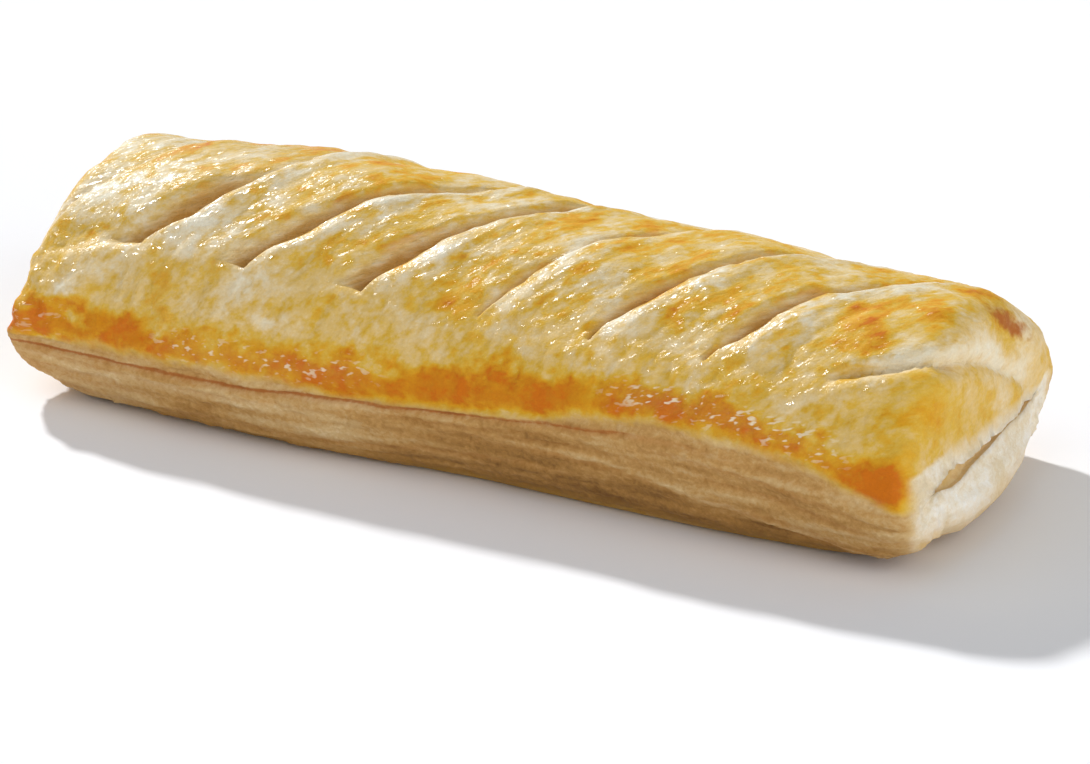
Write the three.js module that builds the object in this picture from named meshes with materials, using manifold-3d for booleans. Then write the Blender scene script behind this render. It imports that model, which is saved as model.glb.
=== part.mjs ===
// A baked sausage roll: a puff-pastry case with diagonal slashes across its domed
// top and laminated sides, and a sausage-meat filling that runs through it and
// shows at the slit in each end and at the bottom of the widest slash.
//
// Millimetres. +X runs along the roll, +Y towards its back, +Z up. The origin is
// the middle of the flat base.

import * as THREE from 'three';
import { mergeVertices } from 'three/addons/utils/BufferGeometryUtils.js';
import Module from 'manifold-3d';

// ---------------------------------------------------------------- dimensions

// Half the length of the crust edge, where the top sheet meets the layered side.
const HALF_LENGTH = 74;

// Sizes at five equally spaced stations, from the left end to the right end.
const FRONT_EDGE_Y = [-26.6, -28.4, -27.6, -28.4, -28.7];
const BACK_EDGE_Y = [28.6, 27.9, 27.0, 27.2, 28.9];
const FRONT_EDGE_Z = [11.2, 11.5, 13.9, 16.8, 12.6];
const BACK_EDGE_Z = [12.1, 12.7, 13.3, 13.0, 12.8];
const RIDGE_Z = [32.7, 36.4, 35.3, 34.2, 32.3];

// Section: how square the dome is, and how far the sides draw in to the base.
const DOME_SQUARENESS = 0.98;
const DOME_FULLNESS = 1.25;
const BASE_INSET = 7.7;
const SIDE_FULLNESS = 1.02;
const CRUST_LIP = 0.7;

// Ends: radius over which each end rounds off, and the power of that rounding.
const EDGE_END = { radius: 3.1, power: 6.0 };
const RIDGE_END = { left: 7.9, right: 9.6, power: 3.6 };
const BASE_END = { left: 16.4, right: 7.6, power: 2.6 };
const END_BOW = { left: 3.0, right: 3.4, height: 6, spread: 9 };

// The slit in each end, where the top and bottom sheets part.
const SLIT = { halfWidth: 19.5, y: -1.6, z: 12.4, halfGap: 1.5 };

// Filling: an oval log that flattens to the slit at each end.
const FILLING = {
  halfLength: 73, halfWidth: 20.5, halfHeight: 10.2, z: 15.6, taperFrom: 52,
};
const CLEARANCE = 0.35;
const CAVITY_HALF_LENGTH = 84;

// Slashes: each starts at (x, y) low on the front of the dome and leans back along
// the roll by `lean` per mm of y, after a first sideways hook. `crackTo` is the y
// where the open cut ends, `depth` its depth, and `wall` the width of its sloping
// back wall. `valley` is the depth of the soft dip that carries on over the ridge.
const SLASHES = [
  { x: -72.0, y: -17.0, lean: 0.66, hook: 0.0, crackTo: -4, depth: 1.2, wall: 2.0, valley: 0.9 },
  { x: -55.2, y: -20.6, lean: 0.55, hook: 6.0, crackTo: 3, depth: 6.0, wall: 4.2, valley: 1.6 },
  { x: -35.1, y: -22.0, lean: 0.97, hook: 0.0, crackTo: 7, depth: 4.6, wall: 3.4, valley: 1.3 },
  { x: -16.7, y: -21.8, lean: 0.74, hook: 2.5, crackTo: 10, depth: 4.2, wall: 3.4, valley: 1.3 },
  { x: 1.4, y: -22.3, lean: 0.76, hook: 0.8, crackTo: 6, depth: 1.6, wall: 2.6, valley: 1.2 },
  { x: 21.3, y: -22.2, lean: 0.7, hook: 2.0, crackTo: 1, depth: 4.4, wall: 3.0, valley: 1.2 },
  { x: 39.6, y: -21.8, lean: 0.66, hook: 2.2, crackTo: -4, depth: 4.0, wall: 2.6, valley: 1.0 },
  { x: 56.0, y: -21.2, lean: 1.35, hook: 3.0, crackTo: -13, depth: 2.4, wall: 2.4, valley: 1.2 },
];
const HOOK_RUN = 5;
const SLASH_LIP = 0.9;
const VALLEY_HALF_WIDTH = 4.2;
const VALLEY_TO = 16;
// How squarely a slash crosses the roll: plan distance across it per mm of x.
const ACROSS = 0.78;

// The hole at the bottom of the widest slash, where the filling shows.
const HOLE = { slash: 1, fromY: -14.5, toY: -3.5, halfWidth: 0.9, fromZ: 18, toZ: 44 };

// Laminated layers: depth of the grooves between them, and how many show.
const LAYERS = { count: 3, depth: 0.8 };

// Uneven rise of the dough: broad lumps as crossed waves, [height, along, across, phase].
const LUMPS = [
  [0.45, 0.19, 0.13, 0.6],
  [0.35, 0.33, -0.21, 2.1],
  [0.25, 0.07, 0.37, 4.0],
];

// ------------------------------------------------------------- small helpers

const clamp = (value, low, high) => Math.min(high, Math.max(low, value));
const mix = (a, b, share) => a + (b - a) * share;
const ramp = (value, from, to) => clamp((value - from) / (to - from), 0, 1);
const ease = (share) => share * share * (3 - 2 * share);

// A smooth curve through equally spaced values, at t from -1 to 1.
function station(values, t) {
  const last = values.length - 1;
  const place = ((clamp(t, -1, 1) + 1) / 2) * last;
  const i = Math.min(Math.floor(place), last - 1);
  const f = place - i;
  const b = values[i];
  const c = values[i + 1];
  const a = i > 0 ? values[i - 1] : 2 * b - c;
  const d = i + 2 <= last ? values[i + 2] : 2 * c - b;
  const cubic = -a + 3 * b - 3 * c + d;
  const square = 2 * a - 5 * b + 4 * c - d;
  return 0.5 * (2 * b + (c - a) * f + square * f * f + cubic * f * f * f);
}

// ------------------------------------------------------- the loaf's own shape

// The rows run once round the section: over the dome from front to back, down the
// back side, across the base and up the front side. k goes from 0 to 1 in each.
const ROW_COUNTS = { dome: 25, back: 7, base: 4, front: 8 };
const ROWS = Object.entries(ROW_COUNTS).flatMap(([part, count]) =>
  Array.from({ length: count }, (_, i) => ({ part, k: i / count })),
);

// How each row rounds off at the ends: its radius and power.
function endRounding(row, right) {
  const side = right ? 'right' : 'left';
  const domeShare = row.part === 'dome' ? Math.sin(row.k * Math.PI) : 0;
  const baseShare = { dome: 0, back: row.k, base: 1, front: 1 - row.k }[row.part];
  const radius =
    EDGE_END.radius +
    (RIDGE_END[side] - EDGE_END.radius) * domeShare ** 0.8 +
    (BASE_END[side] - EDGE_END.radius) * baseShare ** 0.92;
  const power =
    EDGE_END.power +
    (RIDGE_END.power - EDGE_END.power) * domeShare ** 0.6 +
    (BASE_END.power - EDGE_END.power) * baseShare ** 0.7;
  return { radius, power };
}

// The section at x: a point on its outline, before slashes and layers.
function sectionPoint(x, row) {
  const t = x / HALF_LENGTH;
  const frontY = station(FRONT_EDGE_Y, t);
  const backY = station(BACK_EDGE_Y, t);
  const frontZ = station(FRONT_EDGE_Z, t);
  const backZ = station(BACK_EDGE_Z, t);
  const middle = (frontY + backY) / 2;
  const half = (backY - frontY) / 2;
  if (row.part === 'dome') {
    const across = Math.cos(row.k * Math.PI);
    const edgeZ = mix(frontZ, backZ, 0.5 - 0.5 * across);
    const rise = Math.sin(row.k * Math.PI) ** DOME_FULLNESS;
    const y = middle - half * Math.sign(across) * Math.abs(across) ** DOME_SQUARENESS;
    return { y, z: mix(edgeZ, station(RIDGE_Z, t), rise), middle };
  }
  if (row.part === 'base') {
    return { y: mix(backY - BASE_INSET, frontY + BASE_INSET, row.k), z: 0, middle };
  }
  const down = (row.part === 'back' ? row.k : 1 - row.k) * (Math.PI / 2);
  const inset = BASE_INSET * (1 - Math.cos(down));
  const z = (row.part === 'back' ? backZ : frontZ) * (1 - Math.sin(down) ** SIDE_FULLNESS);
  return { y: row.part === 'back' ? backY - inset : frontY + inset, z, middle };
}

// The angle round the end slit that a row closes on.
function slitAngle(row) {
  const share = { dome: row.k, back: 1 + 0.18 * row.k, base: 1.18 + 0.64 * row.k,
    front: 1.82 + 0.18 * row.k }[row.part];
  return share * Math.PI;
}

// ------------------------------------------------------------------- relief

// Where a slash runs: its x at a given y.
function slashX(slash, y) {
  const run = Math.max(0, y - slash.y);
  return slash.x + slash.lean * run + slash.hook * (1 - Math.exp(-run / HOOK_RUN));
}

// The asymmetric cut: a sloping wall behind and a steep lip in front.
function crackProfile(across, wall) {
  if (across < 0) return Math.max(0, 1 + across / wall);
  return Math.max(0, 1 - across / SLASH_LIP);
}

// How much the slashes take off the top of the dome at (x, y).
function slashDepth(x, y) {
  let depth = 0;
  for (const slash of SLASHES) {
    const across = (x - slashX(slash, y)) * ACROSS;
    const start = ease(ramp(y, slash.y - 1, slash.y + 4));
    const crack = start * (1 - ease(ramp(y, slash.crackTo - 7, slash.crackTo)));
    const dip = start * (1 - ease(ramp(y, VALLEY_TO - 12, VALLEY_TO + 4)));
    const valley = Math.exp(-((across / VALLEY_HALF_WIDTH) ** 2));
    depth += slash.depth * crack * crackProfile(across, slash.wall);
    depth += slash.valley * dip * valley;
  }
  return depth;
}

function lumpHeight(x, y) {
  const wave = ([height, along, across, phase]) =>
    height * Math.sin(along * x + across * y + phase);
  return LUMPS.reduce((sum, lump) => sum + wave(lump), 0);
}

// How far the layered sides stand in (negative) or out at height share `up` of the
// side: a lip at the crust edge, then a groove under each layer.
function sideRelief(x, up) {
  const ripple = 0.12 * Math.sin(0.11 * x) + 0.05 * Math.sin(0.31 * x + 1);
  const groove = 0.5 - 0.5 * Math.cos(2 * Math.PI * (LAYERS.count * (up + ripple)));
  const fade = ease(ramp(up, 0.05, 0.3));
  return CRUST_LIP * ease(ramp(up, 0.86, 1)) - LAYERS.depth * groove * fade;
}

// -------------------------------------------------------------- pastry case

// Columns follow the slashes, so that each cut has mesh lines along it.
const BODY_HALF = HALF_LENGTH - EDGE_END.radius;
const GUIDES = SLASHES.slice(1, 7);
const GUIDE_REACH = 3;
const GUIDE_OFFSETS = [-GUIDE_REACH, -1.5, 0, SLASH_LIP, GUIDE_REACH];
const GAP_COLUMNS = 4;
const END_ANGLES = [12, 28, 45, 62, 75, 83, 87.5, 90].map(THREE.MathUtils.degToRad);

// The columns' places along the crust edge, from left to right.
function bodyColumns() {
  const columns = [];
  let from = -BODY_HALF;
  for (const guide of GUIDES) {
    const to = guide.x - GUIDE_REACH;
    for (let i = 0; i < GAP_COLUMNS; i++) columns.push(mix(from, to, i / GAP_COLUMNS));
    for (const offset of GUIDE_OFFSETS.slice(0, -1)) columns.push(guide.x + offset);
    from = guide.x + GUIDE_REACH;
  }
  const rest = 3 * GAP_COLUMNS;
  for (let i = 0; i <= rest; i++) columns.push(mix(from, BODY_HALF, i / rest));
  return columns;
}

// Where a guide crosses a row whose point lies at y.
function guideX(guide, row, y) {
  if (row.part === 'front') return guide.x;
  const back = Math.min(slashX(guide, VALLEY_TO), BODY_HALF - 12);
  if (row.part === 'back') return back;
  if (row.part === 'base') return mix(back, guide.x, row.k);
  return Math.min(slashX(guide, Math.min(y, VALLEY_TO)), BODY_HALF - 12);
}

// x of a column on a row: spread between the ends and the guides.
function columnX(column, row, y) {
  const ends = [false, true].map((right) => HALF_LENGTH - endRounding(row, right).radius);
  const knots = [[-BODY_HALF, -ends[0]]];
  for (const guide of GUIDES) {
    const x = guideX(guide, row, y);
    knots.push([guide.x - GUIDE_REACH, x - GUIDE_REACH], [guide.x + GUIDE_REACH, x + GUIDE_REACH]);
  }
  knots.push([BODY_HALF, ends[1]]);
  const next = Math.max(1, knots.findIndex(([place]) => place >= column - 1e-9));
  const [from, to] = [knots[next - 1], knots[next]];
  return mix(from[1], to[1], (column - from[0]) / (to[0] - from[0]));
}

function bodyPoint(column, row) {
  let x = column;
  for (let pass = 0; pass < 3; pass++) x = columnX(column, row, sectionPoint(x, row).y);
  const point = sectionPoint(x, row);
  return new THREE.Vector3(x, point.y, point.z);
}

// A point on the rounded end, `angle` on from the last full section.
function endPoint(angle, row, right) {
  const { radius, power } = endRounding(row, right);
  const sign = right ? 1 : -1;
  const reach = Math.sin(angle) ** (2 / power);
  const share = angle > Math.PI / 2 - 1e-6 ? 0 : Math.cos(angle) ** (2 / power);
  const x = sign * (HALF_LENGTH - radius + radius * reach);
  const rim = sectionPoint(x, row);
  const turn = slitAngle(row);
  const y = mix(SLIT.y - SLIT.halfWidth * Math.cos(turn), rim.y, share);
  const z = mix(SLIT.z + 0.5 * SLIT.halfGap * Math.sin(turn), rim.z, share);
  const bow = right ? END_BOW.right : END_BOW.left;
  const roundness = 1 - clamp(Math.abs(y) / 28, 0, 1) ** 2;
  const level = Math.exp(-(((z - END_BOW.height) / END_BOW.spread) ** 2));
  return new THREE.Vector3(x + sign * bow * roundness * level * reach ** 4, y, z);
}

// Slashes, lumps and layers, laid on a point of the plain loaf.
function shaped(point, row, endShare) {
  const { x, y, z } = point;
  if (row.part === 'base') return point;
  if (row.part === 'dome') {
    const height = Math.sin(row.k * Math.PI);
    const drop = slashDepth(x, y) * ramp(height, 0.1, 0.6) - lumpHeight(x, y) * height;
    const lip = CRUST_LIP * Math.sign(y) * (1 - ease(ramp(height, 0, 0.22)));
    return new THREE.Vector3(x, y + lip * endShare, z - drop * endShare);
  }
  const up = row.part === 'front' ? row.k : 1 - row.k;
  const out = sideRelief(x, up) * endShare;
  return new THREE.Vector3(x, y + (row.part === 'front' ? -out : out), z);
}

function pastryRings() {
  const end = (right) =>
    END_ANGLES.map((angle) =>
      ROWS.map((row) => shaped(endPoint(angle, row, right), row, Math.cos(angle) ** 0.5)),
    );
  const body = bodyColumns().map((column) => ROWS.map((row) => shaped(bodyPoint(column, row), row, 1)));
  return [...end(false).reverse(), ...body, ...end(true)];
}

// ------------------------------------------------------------------ filling

const LOG_SIDES = 28;
const LOG_STEPS = 26;

// Places along the filling, closer together towards its ends.
const LOG_PLACES = Array.from({ length: LOG_STEPS + 1 }, (_, i) => {
  const share = (2 * i) / LOG_STEPS - 1;
  return FILLING.halfLength * mix(share, Math.sin((share * Math.PI) / 2), 0.5);
});

// A ring of the filling at x, grown outwards by `grow` all round.
function fillingRing(x, grow) {
  const inside = clamp(x, -FILLING.halfLength, FILLING.halfLength);
  const taper = ease(ramp(Math.abs(inside), FILLING.taperFrom, FILLING.halfLength));
  const halfWidth = mix(FILLING.halfWidth, SLIT.halfWidth, taper);
  const halfHeight = mix(FILLING.halfHeight, SLIT.halfGap, taper);
  const middleY = mix(0, SLIT.y, taper);
  const middleZ = mix(FILLING.z, SLIT.z, taper);
  return Array.from({ length: LOG_SIDES }, (_, i) => {
    const angle = (i / LOG_SIDES) * 2 * Math.PI;
    const grain = 1 + 0.03 * Math.sin(3 * angle + 0.2 * inside);
    const y = middleY - (halfWidth + grow) * Math.cos(angle);
    return new THREE.Vector3(x, y, middleZ + (halfHeight * grain + grow) * Math.sin(angle));
  });
}

const fillingRings = () => LOG_PLACES.map((x) => fillingRing(x, 0));

// The space the filling lies in, run out through both end slits.
const cavityRings = () =>
  [-CAVITY_HALF_LENGTH, ...LOG_PLACES, CAVITY_HALF_LENGTH].map((x) => fillingRing(x, CLEARANCE));

// ------------------------------------------------------------------- solids

// A closed mesh from rings of equal length, with a fan over each end ring.
function ringGeometry(rings) {
  const sides = rings[0].length;
  const middle = (ring) =>
    ring.reduce((sum, point) => sum.add(point), new THREE.Vector3()).divideScalar(sides);
  const points = [...rings.flat(), middle(rings[0]), middle(rings.at(-1))];
  const index = [];
  const at = (ring, side) => ring * sides + (side % sides);
  for (let ring = 0; ring < rings.length - 1; ring++) {
    for (let side = 0; side < sides; side++) {
      const [a, b] = [at(ring, side), at(ring, side + 1)];
      const [c, d] = [at(ring + 1, side + 1), at(ring + 1, side)];
      index.push(a, c, b, a, d, c);
    }
  }
  const [first, last] = [points.length - 2, points.length - 1];
  for (let side = 0; side < sides; side++) {
    index.push(first, at(0, side), at(0, side + 1));
    index.push(last, at(rings.length - 1, side + 1), at(rings.length - 1, side));
  }
  const geometry = new THREE.BufferGeometry().setFromPoints(points);
  geometry.setIndex(index);
  return geometry;
}

const wasm = await Module();
wasm.setup();

function toSolid(geometry) {
  const bare = geometry.clone();
  bare.deleteAttribute('normal');
  bare.deleteAttribute('uv');
  const merged = mergeVertices(bare, 1e-4);
  return new wasm.Manifold(new wasm.Mesh({
    numProp: 3,
    vertProperties: merged.attributes.position.array,
    triVerts: new Uint32Array(merged.index.array),
  }));
}

function toGeometry(solid) {
  const { vertProperties, triVerts } = solid.getMesh();
  const geometry = new THREE.BufferGeometry();
  geometry.setAttribute('position', new THREE.BufferAttribute(vertProperties, 3));
  geometry.setIndex(new THREE.BufferAttribute(triVerts, 1));
  geometry.computeVertexNormals();
  return geometry;
}

// The upright lens-shaped cutter for the hole in the widest slash.
function holeGeometry() {
  const slash = SLASHES[HOLE.slash];
  const steps = 8;
  const side = (sign) => Array.from({ length: steps + 1 }, (_, i) => {
    const y = mix(HOLE.fromY, HOLE.toY, i / steps);
    const width = sign * HOLE.halfWidth * Math.sin((i / steps) * Math.PI);
    return new THREE.Vector2(slashX(slash, y) - 0.6 + width, y);
  });
  const outline = [...side(1), ...side(-1).reverse().slice(1, -1)];
  const options = { depth: HOLE.toZ - HOLE.fromZ, bevelEnabled: false };
  return new THREE.ExtrudeGeometry(new THREE.Shape(outline), options).translate(0, 0, HOLE.fromZ);
}

function pastryGeometry() {
  const loaf = toSolid(ringGeometry(pastryRings()));
  const cavity = toSolid(ringGeometry(cavityRings()));
  return toGeometry(loaf.subtract(cavity).subtract(toSolid(holeGeometry())));
}

// -------------------------------------------------------------------- scene

const pastryMaterial = new THREE.MeshStandardMaterial({
  name: 'puff pastry', color: 0xe3c48a, roughness: 0.45, metalness: 0,
});
const fillingMaterial = new THREE.MeshStandardMaterial({
  name: 'sausage meat', color: 0xb98a66, roughness: 0.6, metalness: 0,
});

const pastry = new THREE.Mesh(pastryGeometry(), pastryMaterial);
pastry.name = 'pastry';
const filling = new THREE.Mesh(ringGeometry(fillingRings()), fillingMaterial);
filling.name = 'filling';

const sausageRoll = new THREE.Group();
sausageRoll.name = 'sausage roll';
sausageRoll.add(pastry, filling);

export default sausageRoll;
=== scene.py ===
"""The looks of a baked sausage roll: puff pastry with slashes, layers and egg-wash bake, and its filling.

Sizes are in millimetres in the part's own frame, and become metres when a mesh is made. The pastry and the
filling are fine meshes worked out from the same sizes as the CAD solids that they stand for.
"""
import math
from types import SimpleNamespace

import bpy
import numpy as np
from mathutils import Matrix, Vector


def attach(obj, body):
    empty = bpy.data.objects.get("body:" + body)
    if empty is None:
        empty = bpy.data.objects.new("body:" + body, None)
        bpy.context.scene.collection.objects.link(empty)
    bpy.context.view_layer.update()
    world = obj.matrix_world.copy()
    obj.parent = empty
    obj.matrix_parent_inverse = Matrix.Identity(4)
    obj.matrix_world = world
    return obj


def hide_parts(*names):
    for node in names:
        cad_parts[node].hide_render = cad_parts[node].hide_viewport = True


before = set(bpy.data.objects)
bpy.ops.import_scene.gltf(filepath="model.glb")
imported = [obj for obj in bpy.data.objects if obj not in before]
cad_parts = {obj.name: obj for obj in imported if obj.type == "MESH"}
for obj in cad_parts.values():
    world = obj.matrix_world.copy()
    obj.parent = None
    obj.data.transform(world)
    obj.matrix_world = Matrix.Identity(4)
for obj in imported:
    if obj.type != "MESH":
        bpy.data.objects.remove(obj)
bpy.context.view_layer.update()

MM = 0.001
SEED = 7

# ---- the loaf's driving dimensions (mm)

# Half the length of the crust edge, where the top sheet meets the layered side.
HALF_LENGTH = 74.0
# Sizes at equally spaced stations, from the left end to the right end.
FRONT_EDGE_Y = [-26.6, -28.4, -27.6, -28.4, -28.7]
BACK_EDGE_Y = [28.6, 27.9, 27.0, 27.2, 28.9]
FRONT_EDGE_Z = [11.2, 11.5, 13.9, 16.8, 12.6]
BACK_EDGE_Z = [12.1, 12.7, 13.3, 13.0, 12.8]
RIDGE_Z = [31.8, 36.4, 35.3, 34.4, 32.0]
BASE_INSET = [11.0, 7.7, 7.7, 7.7, 10.4]
DOME_SQUARENESS = 0.98
DOME_FULLNESS = 1.25
SIDE_FULLNESS = 1.02
# The radius over which each end rounds off, and the power of that rounding.
EDGE_END = {"radius": 3.1, "power": 6.0}
RIDGE_END = {"left": 6.9, "right": 9.6, "power": 3.6}
BASE_END = {"left": 20.0, "right": 5.0, "power": 2.6}
CORNER_END = {"left": 30.0, "right": 25.5}
END_BOW = {"left": 3.4, "right": 5.2, "height": 4.0, "spread": 7.5, "y": -4.0, "half_width": 27.0}
SLIT = {"half_width": 19.5, "y": -1.6, "z": 12.4, "half_gap": 1.5, "depth": 0.6}
# Half the height of the slit where it is shut, and what it opens by: (y, reach, opening).
SLIT_SHUT = 0.16
SLIT_OPENINGS = [(-15.0, 5.0, 1.45), (-3.0, 4.0, 0.3), (13.5, 2.6, 0.6)]
FILLING = {"half_length": 73.0, "half_width": 20.5, "half_height": 10.2, "z": 15.6, "taper_from": 52.0}

# Each slash starts at (x, y) low on the front of the dome and leans along the roll by lean per mm of y, past
# a sideways hook. Its pocket closes at y = closes. low and high are its wall's widths at its two ends, and
# blunt is the share of low that it starts with. over is how far its lip hangs over, and valley is the depth
# of its soft dip, which crosses the ridge.
SLASH_KEYS = ("x", "y", "lean", "hook", "closes", "depth", "low", "high", "blunt", "over", "valley")
SLASHES = [dict(zip(SLASH_KEYS, row)) for row in [
    (-72.0, -17.0, 0.66, 0.0, -4.0, 0.7, 2.0, 2.0, 0.3, 0.0, 0.7),
    (-54.7, -18.9, 0.55, 6.9, -3.0, 5.4, 6.6, 4.8, 0.95, 0.0, 1.9),
    (-36.0, -20.6, 0.97, 2.4, 10.0, 5.0, 5.4, 3.2, 0.9, 0.4, 1.6),
    (-16.2, -20.8, 0.74, 2.8, 12.0, 4.8, 5.8, 3.2, 0.85, 0.4, 1.6),
    (2.9, -21.0, 0.76, 0.3, 7.0, 1.4, 2.4, 2.2, 0.3, 0.2, 1.0),
    (21.5, -21.6, 0.78, 0.6, 9.0, 4.8, 4.0, 3.0, 0.2, 0.5, 1.6),
    (39.7, -21.3, 0.66, 2.2, -3.0, 4.6, 3.8, 3.0, 0.2, 0.5, 1.5),
]]
HOOK_RUN = 5.0
SLASH_LIP = 0.55
VALLEY_TO = 16.0
# A slash at least this deep has a full wall, painted pit shade and lip.
FULL_DEPTH = 3.6
# The distance across a slash for each mm along the roll, and the angle of the slashes from its length.
ACROSS = 0.78
SLANT = math.radians(52)
# How far a lip moves along and across the roll for each mm that it hangs over.
HANG_X, HANG_Y = 0.8, 0.6
# The place along the nearly shut slash where its two sides have stayed joined.
BRIDGE = {"slash": 4, "y": -8.5, "reach": 2.6}
# Crumbs of filling on the floor of the widest slash.
CRUMBS = {"x": -48.0, "y": -11.0, "long": 3.0, "wide": 2.6}
# The uneven rise of the dough, as crossed waves: height, turn per mm along and across, and phase.
LUMPS = [(0.45, 0.19, 0.13, 0.6), (0.35, 0.33, -0.21, 2.1), (0.25, 0.07, 0.37, 4.0)]
LUMP_SHARE = 0.6

# ---- small helpers


def clip01(value):
    return np.clip(value, 0.0, 1.0)


def mix(a, b, share):
    return a + (b - a) * share


def ramp(value, start, end):
    return clip01((value - start) / (end - start))


def ease(share):
    return share * share * (3 - 2 * share)


def rise(value, start, end):
    """From 0 at start to 1 at end, smoothly."""
    return ease(ramp(value, start, end))


def fall(value, start, end):
    """From 1 at start to 0 at end, smoothly."""
    return 1 - ease(ramp(value, start, end))


def hill(value, middle, reach):
    """1 at the middle, falling away on both sides over reach."""
    return np.exp(-(((value - middle) / reach) ** 2))


def station(values, t):
    """A smooth curve through equally spaced values, at t from -1 to 1."""
    values = np.asarray(values, float)
    last = len(values) - 1
    place = (np.clip(t, -1, 1) + 1) / 2 * last
    i = np.minimum(np.floor(place).astype(int), last - 1)
    f = place - i
    padded = np.concatenate([[2 * values[0] - values[1]], values, [2 * values[-1] - values[-2]]])
    a, b, c, d = padded[i], padded[i + 1], padded[i + 2], padded[i + 3]
    cubic = -a + 3 * b - 3 * c + d
    square = 2 * a - 5 * b + 4 * c - d
    return 0.5 * (2 * b + (c - a) * f + square * f**2 + cubic * f**3)


class Noise:
    """Seeded gradient noise over space, about -1 to 1."""

    GAIN = 1.5
    OCTAVE_SHIFT = 17

    def __init__(self, seed):
        draw = np.random.default_rng(seed)
        self.table = draw.permutation(256)
        angles = draw.normal(size=(256, 3))
        self.slopes = angles / np.linalg.norm(angles, axis=1, keepdims=True)

    def _slope(self, cell):
        t = self.table
        return self.slopes[t[(t[(t[cell[..., 0] & 255] + cell[..., 1]) & 255] + cell[..., 2]) & 255]]

    def __call__(self, *axes):
        p = np.stack(np.broadcast_arrays(*axes), -1).astype(float)
        cell = np.floor(p).astype(int)
        f = p - cell
        w = f**3 * (f * (6 * f - 15) + 10)
        total = np.zeros(p.shape[:-1])
        for corner in np.ndindex(2, 2, 2):
            corner = np.array(corner)
            weight = np.prod(np.where(corner, w, 1 - w), axis=-1)
            total += weight * np.sum(self._slope(cell + corner) * (f - corner), axis=-1)
        return total * self.GAIN

    def layered(self, x, y, z, octaves=3, gain=0.5):
        total, size = np.zeros(np.broadcast(x, y, z).shape), 1.0
        for octave in range(octaves):
            scale = 2.0**octave
            total = total + size * self(x * scale + self.OCTAVE_SHIFT * octave, y * scale, z * scale)
            size *= gain
        return total


noise = Noise(SEED)

# ---- rows and columns of the pastry mesh

# Rows run round the section: the dome from front to back, the back side down, the base, the front side up.
DOME, BACK, BASE, FRONT = range(4)
# How many rows each part has, and how close together they lie from its start to its end.
ROW_PLAN = [
    (DOME, 98, [(0, 1.6), (0.12, 1.5), (0.2, 1.1), (0.6, 0.9), (1, 0.8)]),
    (BACK, 22, [(0, 1), (1, 1)]),
    (BASE, 10, [(0, 1), (1, 1)]),
    (FRONT, 36, [(0, 0.7), (0.7, 1), (0.86, 1.8), (0.96, 1.8), (1, 1.3)]),
]
# Columns are led along the open slashes, dense for GUIDE_REACH on both sides of each.
GUIDES = SLASHES[1:]
GUIDE_REACH = 3.0
GUIDE_COLUMNS = 24
GAP_COLUMNS = 40
TAIL_COLUMNS = 92
END_COLUMNS = 34
POCKET_COLUMNS = 9
BODY_HALF = HALF_LENGTH - EDGE_END["radius"]
GUIDE_LIMIT = BODY_HALF - 12
SETTLE_ROUNDS = 4
# How an end's rounding changes from the crust edge up to the ridge, and from that edge down to the base.
TO_RIDGE = {"radius": 0.8, "power": 0.6}
TO_BASE = {"radius": 1.3, "power": 0.7}
CORNER_SHARPNESS = 3
# The share of a half turn round the slit that each side's rows take.
SIDE_TURN = 0.18
# How much closer together an end's columns lie towards the slit.
RIM_CROWDING = 1.6


def spaced(weights, count):
    """count places from 0 towards 1, closer together where a (share, closeness) list says so."""
    fine = np.linspace(0, 1, 2001)
    closeness = np.interp(fine, [w[0] for w in weights], [w[1] for w in weights])
    total = np.concatenate([[0], np.cumsum((closeness[1:] + closeness[:-1]) / 2)])
    return np.interp(np.arange(count) / count * total[-1], total, fine)


def by_part(part, dome, back, base, front):
    """A value for each row, by the part of the section that it is in."""
    return np.select([part == DOME, part == BACK, part == BASE], [dome, back, base], front)


row_part = np.concatenate([np.full(count, part) for part, count, _ in ROW_PLAN])
row_k = np.concatenate([spaced(weights, count) for _, count, weights in ROW_PLAN])


def body_columns():
    """Places of the columns along the crust edge, dense beside each slash."""
    places, start = [], -BODY_HALF
    for guide in GUIDES:
        places.append(np.linspace(start, guide["x"] - GUIDE_REACH, GAP_COLUMNS, endpoint=False))
        offsets = np.linspace(-GUIDE_REACH, GUIDE_REACH, GUIDE_COLUMNS, endpoint=False)
        places.append(guide["x"] + offsets)
        start = guide["x"] + GUIDE_REACH
    places.append(np.linspace(start, BODY_HALF, TAIL_COLUMNS))
    return np.concatenate(places)


def end_rounding(part, k, side):
    """The radius and power with which each row rounds off at the left or right end."""
    dome_share = np.where(part == DOME, np.sin(k * np.pi), 0.0)
    base_share = by_part(part, 0.0, k, 1.0, 1 - k)
    corner = np.where(part == BASE, np.abs(2 * k - 1) ** CORNER_SHARPNESS, 1.0)

    def rounding(key, ridge, base):
        edge = EDGE_END[key]
        to_ridge = (ridge - edge) * dome_share ** TO_RIDGE[key]
        return edge + to_ridge + (base - edge) * base_share ** TO_BASE[key]

    radius = rounding("radius", RIDGE_END[side], mix(BASE_END[side], CORNER_END[side], corner))
    return radius, rounding("power", RIDGE_END["power"], BASE_END["power"])


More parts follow.
